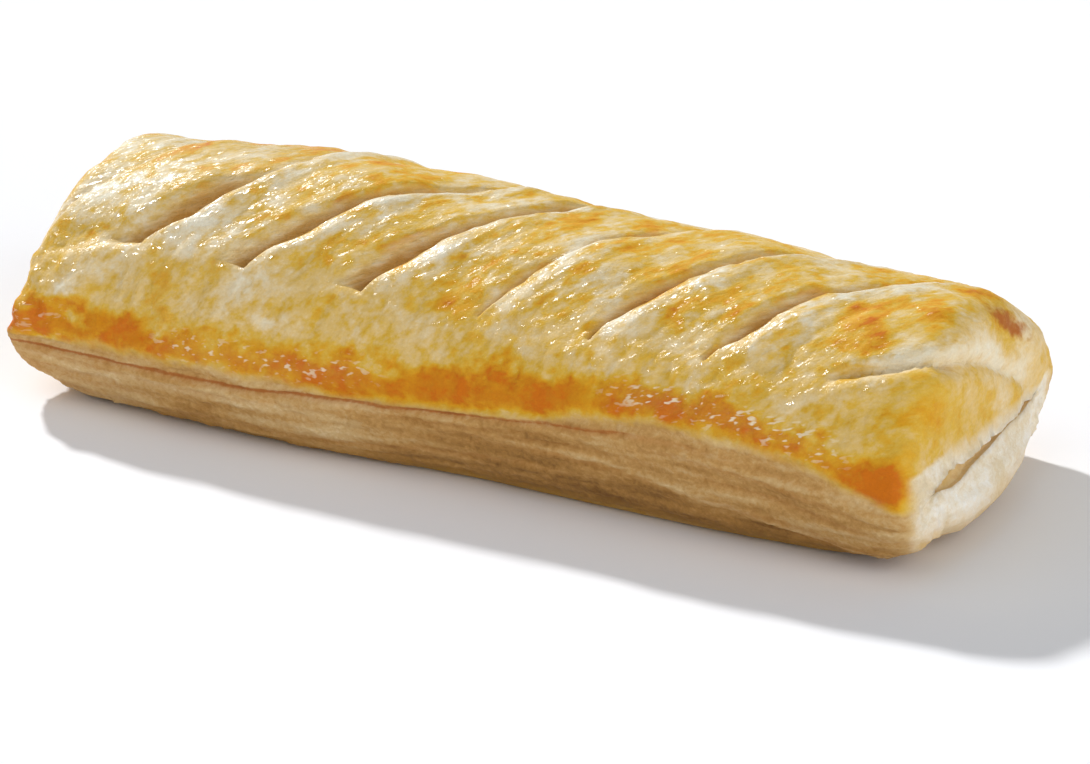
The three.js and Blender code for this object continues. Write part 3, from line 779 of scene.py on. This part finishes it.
class Tree:
    """Short calls for building a shader's nodes."""

    def __init__(self, material):
        self.nodes, self.links = material.node_tree.nodes, material.node_tree.links
        self.shader = self.nodes["Principled BSDF"]
        self.place = self.nodes.new("ShaderNodeTexCoord").outputs["Object"]

    def _feed(self, socket, value):
        if isinstance(value, bpy.types.NodeSocket):
            self.links.new(value, socket)
        else:
            socket.default_value = value

    def set(self, **values):
        """Sets the shader's sockets, whose names have spaces in place of underscores."""
        for name, value in values.items():
            self._feed(self.shader.inputs[name.replace("_", " ")], value)

    def mask(self, name):
        node = self.nodes.new("ShaderNodeAttribute")
        node.attribute_name = name
        return node.outputs["Fac"]

    def math(self, operation, a, b=0.0, c=0.0):
        node = self.nodes.new("ShaderNodeMath")
        node.operation = operation
        for socket, value in zip(node.inputs, (a, b, c)):
            self._feed(socket, value)
        return node.outputs[0]

    def add(self, a, b):
        return self.math("ADD", a, b)

    def times(self, a, b):
        return self.math("MULTIPLY", a, b)

    def swing(self, value, amount):
        """A noise from 0 to 1 as a change of up to half the amount up or down."""
        return self.times(self.math("SUBTRACT", value, 0.5), amount)

    def scaled(self, stretch, turn=0.0):
        """The object's place, turned about z and then stretched."""
        node = self.nodes.new("ShaderNodeMapping")
        node.vector_type = "TEXTURE"
        self.links.new(self.place, node.inputs["Vector"])
        node.inputs["Rotation"].default_value = (0, 0, turn)
        node.inputs["Scale"].default_value = [1 / share for share in stretch]
        return node.outputs[0]

    def noise(self, per_mm, detail=3.0, roughness=0.55, stretch=(1, 1, 1), turn=0.0):
        node = self.nodes.new("ShaderNodeTexNoise")
        self.links.new(self.scaled(stretch, turn), node.inputs["Vector"])
        node.inputs["Scale"].default_value = per_mm / MM
        node.inputs["Detail"].default_value = detail
        node.inputs["Roughness"].default_value = roughness
        return node.outputs["Fac"]

    def range(self, value, low, high, to_low=0.0, to_high=1.0):
        node = self.nodes.new("ShaderNodeMapRange")
        node.interpolation_type = "SMOOTHSTEP"
        for key, number in (("From Min", low), ("From Max", high), ("To Min", to_low), ("To Max", to_high)):
            node.inputs[key].default_value = number
        self._feed(node.inputs["Value"], value)
        return node.outputs["Result"]

    def blend(self, share, a, b, mode="MIX"):
        node = self.nodes.new("ShaderNodeMix")
        node.data_type, node.blend_type = "RGBA", mode
        self._feed(node.inputs[0], share)
        self._feed(node.inputs[6], a)
        self._feed(node.inputs[7], b)
        return node.outputs[2]

    def colours(self, value, stops):
        node = self.nodes.new("ShaderNodeValToRGB")
        ramp_stops = node.color_ramp.elements
        while len(ramp_stops) < len(stops):
            ramp_stops.new(0.5)
        for stop, (place, colour) in zip(ramp_stops, stops):
            stop.position, stop.color = place, colour
        self._feed(node.inputs[0], value)
        return node.outputs[0]

    def bump(self, heights):
        """Chains (height, strength, depth in mm) bumps and gives the last normal."""
        normal = None
        for value, strength, depth in heights:
            node = self.nodes.new("ShaderNodeBump")
            self._feed(node.inputs["Height"], value)
            self._feed(node.inputs["Strength"], strength)
            node.inputs["Distance"].default_value = depth * MM
            if normal is not None:
                self.links.new(normal, node.inputs["Normal"])
            normal = node.outputs[0]
        return normal


# The direction of the dashes over the crust band, glaze bumps with painted highlights, as an angle from the
# roll's length.
DASH_TURN = math.radians(27)


class PastryTree(Tree):
    """The pastry's shader: noises that its colours and bumps share, and a method for each surface."""

    def __init__(self, material):
        super().__init__(material)
        slanted = dict(turn=SLANT, stretch=(0.5, 1, 1))
        self.mottle = self.noise(0.12, 3, 0.5)
        self.cloud = self.noise(0.28, 3, 0.5, **slanted)
        self.fleck = self.noise(0.65, 3, 0.55, **slanted)
        self.speckle = self.noise(1.5, 3, 0.6, **slanted)
        self.grain = self.noise(3.0, 3, 0.6)
        self.side_lines = self.noise(0.42, 1, 0.5, stretch=(0.2, 0.2, 1.5))
        self.side_flakes = self.noise(0.8, 4, 0.7, stretch=(0.8, 0.8, 1.0))
        self.strands = self.noise(0.9, 3, 0.6, turn=SLANT, stretch=(0.22, 1, 1))
        dashes = self.range(self.noise(1.5, 1, 0.5, turn=DASH_TURN, stretch=(0.16, 1, 1)), 0.58, 0.69)
        self.glaze_and_painted_glints = self.mask("glaze_and_painted_glints")
        self.dashes = self.times(dashes, self.glaze_and_painted_glints)
        self.baked = self.bake()

    def bake(self):
        """The bake of each point with its flecks and spots."""
        flecks = self.range(self.add(self.cloud, self.swing(self.fleck, 0.6)), 0.38, 0.76)
        coarse = self.add(self.swing(self.mottle, 0.75), self.times(flecks, 0.36))
        fine = self.add(self.swing(self.fleck, 0.4), self.swing(self.speckle, 0.45))
        return self.add(self.mask("bake"), self.times(self.add(coarse, fine), self.mask("calm")))

    def crust(self):
        colour = self.colours(self.baked, CRUST)
        # Painted highlights: pale glint dashes where the band is glazed.
        colour = self.blend(self.times(self.dashes, 0.85), colour, PAINTED_GLINT)
        scorch = self.range(self.add(self.mask("scorch"), self.swing(self.fleck, 1.5)), 0.15, 1.05)
        colour = self.blend(self.times(scorch, 0.9), colour, SCORCHED)
        cool = self.times(self.mask("up"), self.range(self.baked, 0.38, 0.62, 1.0, 0.3))
        return self.blend(cool, colour, SKYLIT, "MULTIPLY")

    def side(self):
        streaks = self.add(self.swing(self.side_lines, 0.75), self.swing(self.side_flakes, 0.6))
        # The side's tone, with painted shade towards the base.
        tone = self.add(self.add(self.mask("tone_and_base_shade"), self.swing(self.speckle, 0.5)), streaks)
        colour = self.colours(tone, LAYERS)
        colour = self.blend(self.times(self.mask("line"), 0.5), colour, GAP_LINE)
        from_crease = self.math("ABSOLUTE", self.add(self.mask("crease"), self.swing(self.speckle, 0.3)))
        return self.blend(self.range(from_crease, 0.1, 0.35, 0.8, 0), colour, CREASE_LINE)

    def dough(self):
        colour = self.colours(self.add(self.mottle, self.swing(self.side_flakes, 0.8)), DOUGH)
        return self.blend(self.times(self.mask("rind"), 0.95), colour, RIND)

    def colour(self):
        colour = self.blend(self.mask("side"), self.crust(), self.side())
        colour = self.blend(self.mask("raw"), colour, self.dough())
        colour = self.blend(self.mask("wall"), colour, self.colours(self.strands, TORN))
        colour = self.blend(self.times(self.mask("under"), 0.55), colour, UNDERSIDE)
        # Painted shade low in the pockets, the cut and the crack, with the brown of the crumbs and inside the
        # slit.
        pit = self.range(self.mask("pit"), 0.0, 0.8)
        colour = self.blend(self.times(pit, self.range(self.strands, 0.3, 0.6, 1.0, 0.8)), colour, PIT_SHADE_AND_CRUMBS)
        return self.blend(0.5, colour, self.colours(self.grain, GRAIN), "MULTIPLY")

    def normal(self):
        sheets = self.add(self.side_lines, self.swing(self.side_flakes, 0.6))
        sheets = self.times(sheets, self.mask("side"))
        torn = self.times(self.strands, self.mask("wall"))
        fine = [(self.speckle, 0.5, 0.3), (sheets, 0.45, 0.8), (torn, 0.8, 0.8), (self.grain, 0.5, 0.1)]
        return self.bump(fine)

    def coat_normal(self):
        pebbles = self.noise(1.0, 2, 0.5, turn=SLANT, stretch=(0.42, 1, 1))
        crinkle = self.range(self.noise(0.7, 1.5, 0.5, turn=SLANT, stretch=(0.3, 1, 1)), 0.42, 0.62)
        return self.bump([(pebbles, 0.9, 0.56), (crinkle, 0.9, 0.36), (self.dashes, 1.0, 0.4)])

    def coat_weight(self):
        glaze = self.times(self.mask("sheen"), self.range(self.baked, 0.5, 0.8, 0.75, 0.42))
        return self.math("MAXIMUM", glaze, self.times(self.glaze_and_painted_glints, 0.5))

    def roughness(self):
        return self.add(self.range(self.mask("sheen"), 0.4, 0.95, 0.74, 0.56), self.swing(self.fleck, 0.3))


def pastry_material():
    material = new_material("puff_pastry")
    tree = PastryTree(material)
    tree.set(
        Base_Color=tree.colour(), Roughness=tree.roughness(), Normal=tree.normal(),
        Subsurface_Weight=0.05, Subsurface_Radius=(0.0016, 0.0011, 0.0007), Subsurface_Scale=1.0,
        IOR=1.45, Specular_IOR_Level=0.3,
        Coat_Weight=tree.coat_weight(), Coat_Roughness=0.26, Coat_Normal=tree.coat_normal())
    return material


def filling_material():
    material = new_material("sausage_meat")
    tree = Tree(material)
    coarse, fine = tree.noise(0.35, 4, 0.6), tree.noise(1.6, 3, 0.6)
    tree.set(
        Base_Color=tree.colours(coarse, MEAT), Roughness=0.5,
        Normal=tree.bump([(coarse, 0.8, 1.0), (fine, 0.5, 0.3)]),
        Subsurface_Weight=0.1, Subsurface_Radius=(0.002, 0.001, 0.0006))
    return material


# ---- bake and looks of the pastry

# Bake along the crust's front and back edges, from left to right.
EDGE_BAKE = [1.08, 0.88, 0.74, 0.74, 0.84, 0.82, 0.82, 0.84, 0.8, 0.88, 0.84, 1.08]
# Patches that baked darker or stayed paler: centre, reach along and across the slashes, bake added.
PATCHES = [
    # Along the ridge.
    (-58, -1.4, 34.5, 13, 2, 0.26), (-38, -0.3, 36.4, 12, 2, 0.26), (-13, 4.5, 35.3, 11, 3.5, 0.08),
    (-19, -4, 36, 8, 2.5, 0.16), (8, -1, 35, 9, 2.5, 0.2), (41, -1, 34, 6, 3.5, 0.24),
    # Between the slashes.
    (-34, -12, 34, 5, 1.4, 0.28), (4.8, -11, 33, 7, 3, 0.06), (-2.5, -20.3, 27.2, 2.6, 1.6, 0.26),
    (14, -15, 31.3, 6, 3, 0.22), (38.2, -10.9, 32.6, 4, 2, 0.42), (34, -14.6, 31.3, 4, 1.8, 0.36),
    (-47.5, -11.5, 31, 3, 1, 0.3), (-33.2, -8.9, 35.1, 2.6, 1.4, 0.2),
    # Over the right end.
    (60.8, -14.2, 30, 2.2, 4, 0.3), (60.5, -11, 31, 5, 5, 0.26), (56, -5, 32, 6, 4.5, 0.2),
    (66, -1, 32.3, 3.6, 2, 0.34), (70.5, 10.5, 29, 4, 3, 0.26), (72.5, 9, 27.5, 4.4, 3, 0.3),
    (72.8, -16.5, 24.2, 5, 4, 0.36), (73.8, -10.5, 20.5, 3, 4, 0.16), (75.5, 3, 17, 5, 4, 0.2),
    (71, -22.5, 20, 3, 3, 0.26), (71.5, -27, 15.5, 4, 3, 0.1),
    (69.5, -28, 15.3, 4.5, 3, 0.26),
    # The front left corner.
    (-71, -26, 13, 5, 3, 0.1), (-74.5, -25.5, 11, 3, 3, 0.75), (-48, -23.5, 22, 4, 3, 0.16),
    (-42, -21, 26, 3, 3, 0.14),
    # Paler.
    (-64, -9, 30.5, 11, 6, -0.26), (-66, -24.4, 18.5, 4, 2, -0.4), (-41.3, -5.9, 35.5, 3, 2, -0.34),
    (-39, 0, 36, 8, 1.6, -0.3), (13.1, -9.2, 33.7, 2.4, 1.7, -0.5), (53.6, -5.9, 33, 4.8, 1.7, -0.4),
    (-30, -24, 20, 7, 4, -0.14), (26, -24.5, 20, 6, 3, -0.14), (62, -25, 19, 5, 3, -0.1),
    (75, 8, 20, 6, 4, -0.12), (-45, -19.5, 28.5, 4, 2.5, -0.2), (-34.1, -22.8, 24.7, 5, 2.5, -0.26),
]
PATCH_DEPTH = 5.0
# The scorched streak over the right end: its middle, reach along x and y, fall of z along y, reach across.
SCORCH = {"at": (72.8, 11.0, 26.9), "reach_x": 4.0, "long": 6.0, "fall": 0.62, "wide": 2.2}
PLAIN_BAKE = 0.395
# The most that a patch bakes: low on the dome, and how much less on the ridge, between these y.
MOST_BAKE = {"low": 0.62, "less": 0.11, "y": (-7, -1)}
# Above this bake, more of it shows less and less, up to a limit that is top above it.
SOFT_FROM, SOFT_TOP, SOFT_REACH = 0.78, 0.2, 0.26


def crust_lift(x, y):
    """How far the crust band keeps above the front's crust edge."""
    right = 1.8 * ramp(x, 15, 35) * (1 - ramp(x, 60, 73))
    left = 1.5 * ramp(-x, 17, 27) * (1 - ramp(-x, 58, 68))
    return (right + left) * (y < 0)


def bake_map(loaf):
    """How far each point has baked, from 0 (raw) to 1 (dark brown), and the masks that go with it."""
    x, y, z = loaf.x, loaf.y, loaf.z
    front = y < 0
    above = -loaf.below
    warp_x = 2.2 * noise.layered(x * 0.14, y * 0.14, z * 0.14, 3)
    warp_y = 2.2 * noise.layered(x * 0.14 + 30, y * 0.14, z * 0.14, 3)
    patch = noise.layered(x * 0.055, y * 0.075, z * 0.05 + 8, 3)
    bake = PLAIN_BAKE + loaf.height * (0.17 * patch - 0.12)
    bake = bake + 0.12 * hill(y, 8, 5) * (1 + noise.layered(x * 0.09, y * 0.1, 11.0, 2))
    for px, py, pz, long, wide, more in PATCHES:
        along, across = turned(x + warp_x, y + warp_y, px, py)
        far = (along / long) ** 2 + (across / wide) ** 2 + ((z - pz) / PATCH_DEPTH) ** 2
        bake += 0.95 * more * np.exp(-(far**1.2))
    bake = np.minimum(bake, MOST_BAKE["low"] - MOST_BAKE["less"] * ramp(y, *MOST_BAKE["y"]))

    # The dark band over the crust edge, and the skirt of side-coloured dough under it where it is lifted.
    ragged = noise.layered(x * 0.16, y * 0.16, z * 0.25, 4, 0.65) * (1 - 0.6 * ramp(x, 58, 66))
    lift = crust_lift(x, y)
    skirt = (1 - ramp(above + 0.7 * ragged - lift, -1.5, 0.3)) * ramp(lift, 0.1, 0.6) * loaf.dome
    low = ramp(above + 0.9 * ragged - lift, -0.7, 1.3)
    thin = 2.2 * hill(x, 54, 8) * front
    high = fall(above + 2.8 * ragged - 0.5 * lift + thin, 2.5, 7.5)
    right_corner = rise(loaf.round_corner, 71.0, 74.4)
    left_corner = 0.8 * ramp(-x, HALF_LENGTH, HALF_LENGTH + 2.0)
    band = low * high * (1 - np.where(x > 0, right_corner, left_corner))
    strength = station(EDGE_BAKE, loaf.t) - 0.28 + 0.14 * noise.layered(x * 0.09, y * 0.1, 3.0, 3, 0.7)
    bake = bake + band * strength - 0.28 * loaf.pale
    softer = SOFT_FROM + SOFT_TOP * (1 - np.exp(-(bake - SOFT_FROM) / SOFT_REACH))
    bake = np.where(bake > SOFT_FROM, softer, bake)
    bake = bake * (1 - 0.6 * loaf.end_face)
    # Lips are paler: partly pale unglazed dough, partly painted highlight.
    bake = bake - 0.2 * loaf.lip * (1 + 0.8 * noise.layered(x * 0.3, y * 0.3, 6.0, 2))

    at_x, at_y, at_z = SCORCH["at"]
    streak = z - at_z + SCORCH["fall"] * (y - at_y) + 0.3 * warp_x
    beside = (y - at_y + 0.3 * warp_y) / SCORCH["long"]
    far = ((x - at_x) / SCORCH["reach_x"]) ** 2 + beside**2 + (streak / SCORCH["wide"]) ** 2
    scorch = np.exp(-(far**1.3))

    # Egg-wash drips on the band, glossier and with painted glints: right of the middle, left of it, and the
    # left end.
    glaze_and_painted_glints = ramp(x, 24, 32) * (1 - ramp(x, 60, 66)) * hill(above, 4.7, 2.0)
    glaze_and_painted_glints = glaze_and_painted_glints + 0.8 * ramp(x, -50, -44) * (1 - ramp(x, -16, -8)) * hill(above, 3.5, 2)
    glaze_and_painted_glints = glaze_and_painted_glints + 0.4 * ramp(-x, 62, 68) * hill(above, 3, 3)
    return SimpleNamespace(bake=bake, band=band, scorch=scorch, glaze_and_painted_glints=clip01(glaze_and_painted_glints) * front, skirt=skirt)


def shine_map(loaf, crust, flap):
    """How glossy the egg wash is."""
    x = loaf.x
    sheen = clip01(loaf.dome * ramp(loaf.height, 0.0, 0.12) * (1 - loaf.wall))
    sheen = sheen * (1 - loaf.end_face) * (1 - crust.skirt)
    dull = np.maximum(0.9 * crust.band * (1 - crust.glaze_and_painted_glints), 0.5 * flap)
    dull = np.maximum(dull, ramp(crust.scorch, 0.1, 0.4))
    away_from_left = 1 - 0.68 * ramp(x, -48, -22) * (1 - 0.8 * loaf.lip)
    return sheen * (1 - dull) * away_from_left * (1 - 0.3 * ramp(-x, 46, 58))


def pastry_attributes(loaf):
    """The values that the pastry's shader reads at each point."""
    x, y, z = loaf.x, loaf.y, loaf.z
    crust = bake_map(loaf)
    in_slit = loaf.inside > 0
    # The smooth flap of skin between the last slash and the right end's front corner.
    flap = ramp(x, 62, 68) * ramp(-y, 4, 10)
    # Flecks are weaker on the band and the flap, low on the front, and over the right end.
    fewer_flecks = np.maximum(0.65 * np.maximum(crust.band, 0.7 * flap),
                              np.maximum(0.4 * ramp(-y, 16, 21), 0.6 * ramp(x, 68, 73)))
    # The side's colour starts higher where the front's crust edge stands open.
    open_edge = np.where(y < 0, ramp(x, 15, 25) * (1 - ramp(x, 66, 72)) + ramp(-x, 19, 25), 0.0)
    side = np.maximum(loaf.layered * ramp(loaf.below + open_edge, 0.2, 1.1), crust.skirt)
    top = loaf.height**2 * mix(0.75, 1, ramp(-x, 45, 60))
    rind = np.maximum(1 - ramp(z, 2.5, 8.5), ramp(-y, 15, 21) * (1 - ramp(z, 5.0, 9.0)))
    return {
        "bake": crust.bake,
        "raw": np.maximum(0.95 * loaf.end_face, 0.4 * in_slit),
        "wall": loaf.wall,
        "side": side * (1 - loaf.end_face),
        # Painted shade in the slashes, the end cut and the crack, the crumbs' brown, and tan-brown inside the
        # slit.
        "pit": np.maximum(np.maximum(loaf.pit, 0.22 * in_slit), 0.95 * loaf.cracked),
        "sheen": shine_map(loaf, crust, flap),
        "calm": 1 - fewer_flecks,
        # The painted skylight tint goes on what faces up and on the lips.
        "up": np.maximum(top, 0.5 * loaf.lip) * loaf.dome * (1 - loaf.at_end),
        "under": fall(z, 0.5, 3.5),
        # Darker towards the base as painted shade, plus each sheet's own tone.
        "tone_and_base_shade": clip01(0.58 - 0.5 * np.exp(-z / 2.6) + loaf.tone + 0.03 * crust.skirt),
        "line": loaf.gaps,
        "crease": loaf.crease,
        "scorch": crust.scorch,
        "glaze_and_painted_glints": crust.glaze_and_painted_glints,
        "rind": loaf.end_face * rind,
    }


# ---- pieces

LOG_COLUMNS, LOG_ROWS = 220, 72
LOG_ROUGHNESS = {"height": 0.25, "per_mm": 0.3}


def make_pastry():
    points, loaf = shape_pastry()
    columns, rows = points.shape[:2]
    attributes = {key: close_ends(value[..., None])[:, 0] for key, value in pastry_attributes(loaf).items()}
    pastry = make_mesh("pastry_crust", close_ends(points), tube_faces(columns, rows), attributes)
    pastry.data.materials.append(pastry_material())
    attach(pastry, "root")
    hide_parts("pastry")


def make_filling():
    share = np.linspace(-1, 1, LOG_COLUMNS)
    x = (FILLING["half_length"] * mix(share, np.sin(share * np.pi / 2), 0.5))[:, None]
    angle = np.arange(LOG_ROWS) / LOG_ROWS * 2 * np.pi
    taper = rise(np.abs(x), FILLING["taper_from"], FILLING["half_length"])
    half_width = mix(FILLING["half_width"], SLIT["half_width"], taper)
    half_height = mix(FILLING["half_height"], SLIT["half_gap"], taper)
    y = mix(0, SLIT["y"], taper) - half_width * np.cos(angle)
    z = mix(FILLING["z"], SLIT["z"], taper) + half_height * np.sin(angle)
    points = np.stack(np.broadcast_arrays(x, y, z), -1)
    rough = LOG_ROUGHNESS["height"] * noise.layered(*np.moveaxis(points * LOG_ROUGHNESS["per_mm"], -1, 0), 3)
    points = points + grid_normals(points) * rough[..., None]
    filling = make_mesh("meat_filling", close_ends(points), tube_faces(LOG_COLUMNS, LOG_ROWS))
    filling.data.materials.append(filling_material())
    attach(filling, "root")
    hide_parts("filling")


# ---- studio

CAMERA = dict(azimuth=26.7, elevation=23.6, distance=844.0, target=(3.3, 0.0, 7.5), focal_pixels=5635.0)
PHOTO_WIDTH = 1090
SENSOR_WIDTH = 36.0
CLIP_START, CLIP_END = 0.01, 20
# Suns: where each comes from, its strength, its spread in degrees and its colour.
LIGHTS = {
    "key": ((-1.1, 0.8, 1.0), 2.95, 4.0, (1.0, 0.995, 0.985)),
    "fill_right": ((0.85, -0.35, 0.4), 1.38, 60.0, (0.98, 0.99, 1.0)),
    "fill_front": ((-0.41, -0.5, 0.76), 0.5, 60.0, (1.0, 0.99, 0.97)),
}
SKY = {"colour": (0.95, 0.97, 1.0, 1), "strength": 0.275}
FLOOR = {"half_size_m": 3.0, "colour": (0.905, 0.915, 0.945, 1), "roughness": 0.9, "specular": 0.1}


def make_floor():
    size = FLOOR["half_size_m"]
    mesh = bpy.data.meshes.new("floor")
    corners = [(-size, -size, 0), (size, -size, 0), (size, size, 0), (-size, size, 0)]
    mesh.from_pydata(corners, [], [(0, 1, 2, 3)])
    floor = put("floor", mesh)
    material = new_material("pale_floor")
    shader = material.node_tree.nodes["Principled BSDF"]
    shader.inputs["Base Color"].default_value = FLOOR["colour"]
    shader.inputs["Roughness"].default_value = FLOOR["roughness"]
    shader.inputs["Specular IOR Level"].default_value = FLOOR["specular"]
    mesh.materials.append(material)


def make_camera():
    azimuth, elevation = math.radians(CAMERA["azimuth"]), math.radians(CAMERA["elevation"])
    look = Vector((-math.sin(azimuth) * math.cos(elevation), math.cos(azimuth) * math.cos(elevation),
                   -math.sin(elevation)))
    data = bpy.data.cameras.new("camera")
    data.sensor_width = SENSOR_WIDTH
    data.lens = CAMERA["focal_pixels"] / PHOTO_WIDTH * SENSOR_WIDTH
    data.clip_start, data.clip_end = CLIP_START, CLIP_END
    camera = put("camera", data)
    camera.location = (Vector(CAMERA["target"]) - look * CAMERA["distance"]) * MM
    camera.rotation_euler = look.to_track_quat("-Z", "Y").to_euler()
    bpy.context.scene.camera = camera


def make_lights():
    for name, (source, strength, spread, colour) in LIGHTS.items():
        data = bpy.data.lights.new(name, "SUN")
        data.energy, data.angle, data.color = strength, math.radians(spread), colour
        put(name, data).rotation_euler = Vector(source).to_track_quat("Z", "Y").to_euler()
    world = bpy.data.worlds.new("studio")
    bpy.context.scene.world = world
    world.use_nodes = True
    backdrop = world.node_tree.nodes["Background"]
    backdrop.inputs["Color"].default_value = SKY["colour"]
    backdrop.inputs["Strength"].default_value = SKY["strength"]
    bpy.context.scene.view_settings.view_transform = "Standard"


make_pastry()
make_filling()
make_floor()
make_camera()
make_lights()
